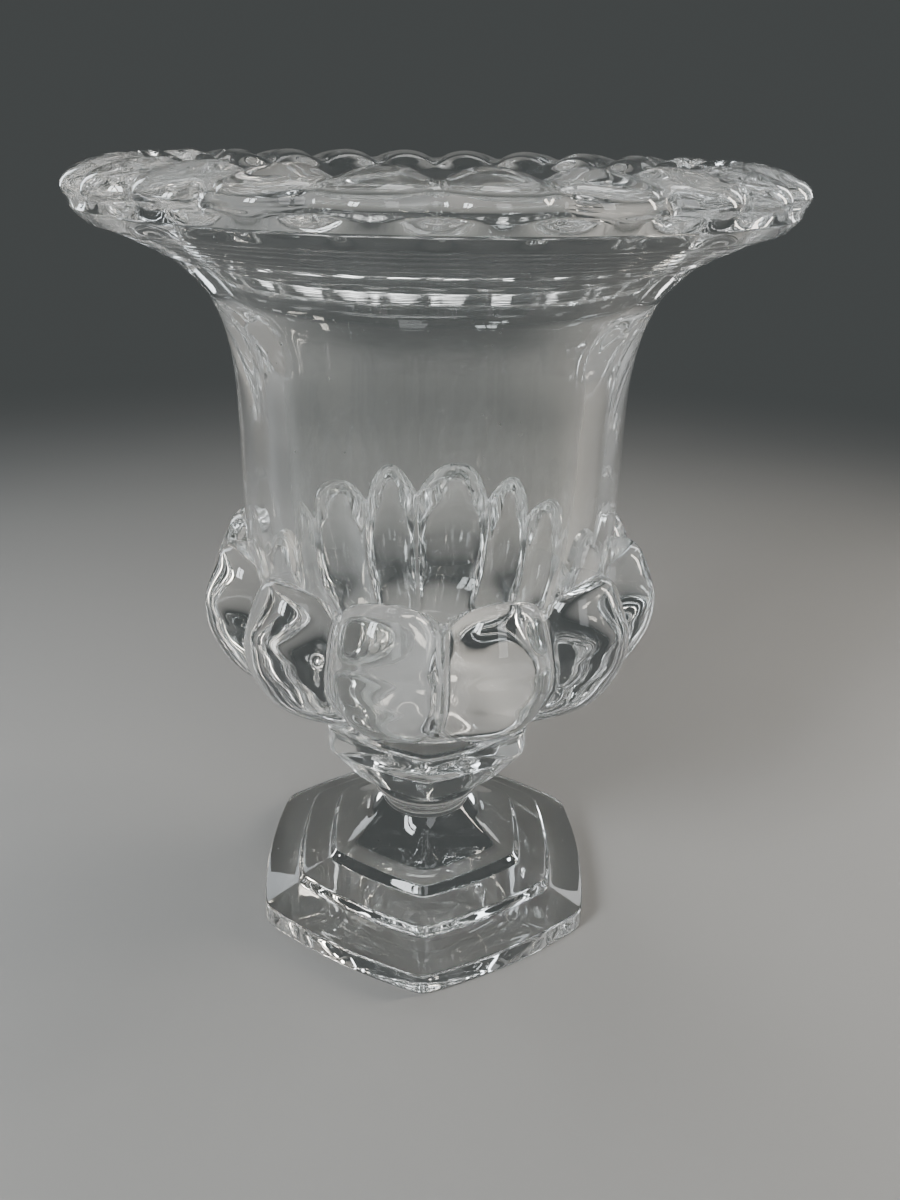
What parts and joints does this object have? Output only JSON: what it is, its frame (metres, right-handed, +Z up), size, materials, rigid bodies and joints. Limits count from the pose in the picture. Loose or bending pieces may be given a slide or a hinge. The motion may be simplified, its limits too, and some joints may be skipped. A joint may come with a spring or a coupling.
{
  "type": "footed vase",
  "caption": "Open urn vase of clear crystal: panelled wall, flared petal rim, gadrooned cup, hexagonal knop and stepped hexagonal foot.",
  "frame": {"origin": "centre of the foot's underside, on the surface the vase stands on", "axes": "+Z up through the mouth, -Y towards the front corner of the hexagonal foot, +X to the right seen from the front"},
  "size_m": [0.199, 0.199, 0.248],
  "materials": {
    "pressed_crystal": "fire-polished clear crystal",
    "gather_crystal": "thick fire-polished clear crystal",
    "bowl_crystal": "polished clear crystal"
  },
  "bodies": {
    "root": {"foot": "pressed_crystal", "stem": "pressed_crystal", "knop": "pressed_crystal", "wafer": "pressed_crystal", "gadroon_cup": "gather_crystal", "bowl": "bowl_crystal"}
  },
  "joints": []
}
